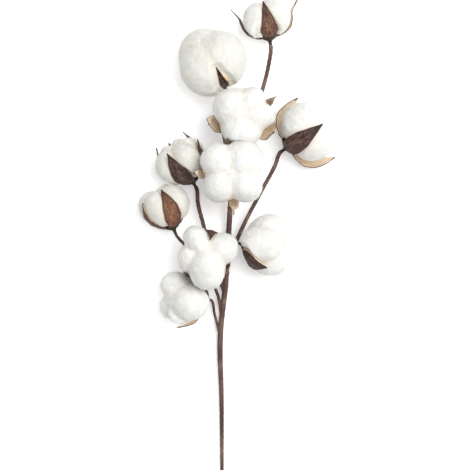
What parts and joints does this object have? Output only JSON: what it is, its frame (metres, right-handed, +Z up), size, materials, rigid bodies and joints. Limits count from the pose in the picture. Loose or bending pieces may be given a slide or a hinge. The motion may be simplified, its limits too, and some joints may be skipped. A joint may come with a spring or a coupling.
{
  "type": "cotton stem bunch",
  "caption": "Cut branching stem of dried open cotton bolls, lying flat; white lobed cotton tufts in brown pointed burs, for bouquets, wreaths and arrangements.",
  "frame": {"origin": "middle of the whole object's footprint, on the surface that it lies on", "axes": "+Y along the stem from its cut end to the boll at its tip, +Z up from the surface, +X across the stem"},
  "size_m": [0.2166, 0.533, 0.0849],
  "materials": {
    "cotton": "matt, soft and fluffy, warm white",
    "bur": "matt dry dark brown shell, cream inside",
    "stem": "matt brown twig, its joins wrapped with brown paper tape"
  },
  "bodies": {
    "root": {"boll_01_cotton": "cotton", "boll_01_bur": "bur", "boll_02_cotton": "cotton", "boll_02_bur": "bur", "boll_03_cotton": "cotton", "boll_03_bur": "bur", "boll_04_cotton": "cotton", "boll_04_bur": "bur", "boll_05_cotton": "cotton", "boll_05_bur": "bur", "boll_06_cotton": "cotton", "boll_06_bur": "bur", "boll_07_cotton": "cotton", "boll_07_bur": "bur", "boll_08_cotton": "cotton", "boll_08_bur": "bur", "boll_09_cotton": "cotton", "boll_09_bur": "bur", "boll_10_cotton": "cotton", "boll_10_bur": "bur", "stem": "stem"}
  },
  "joints": []
}
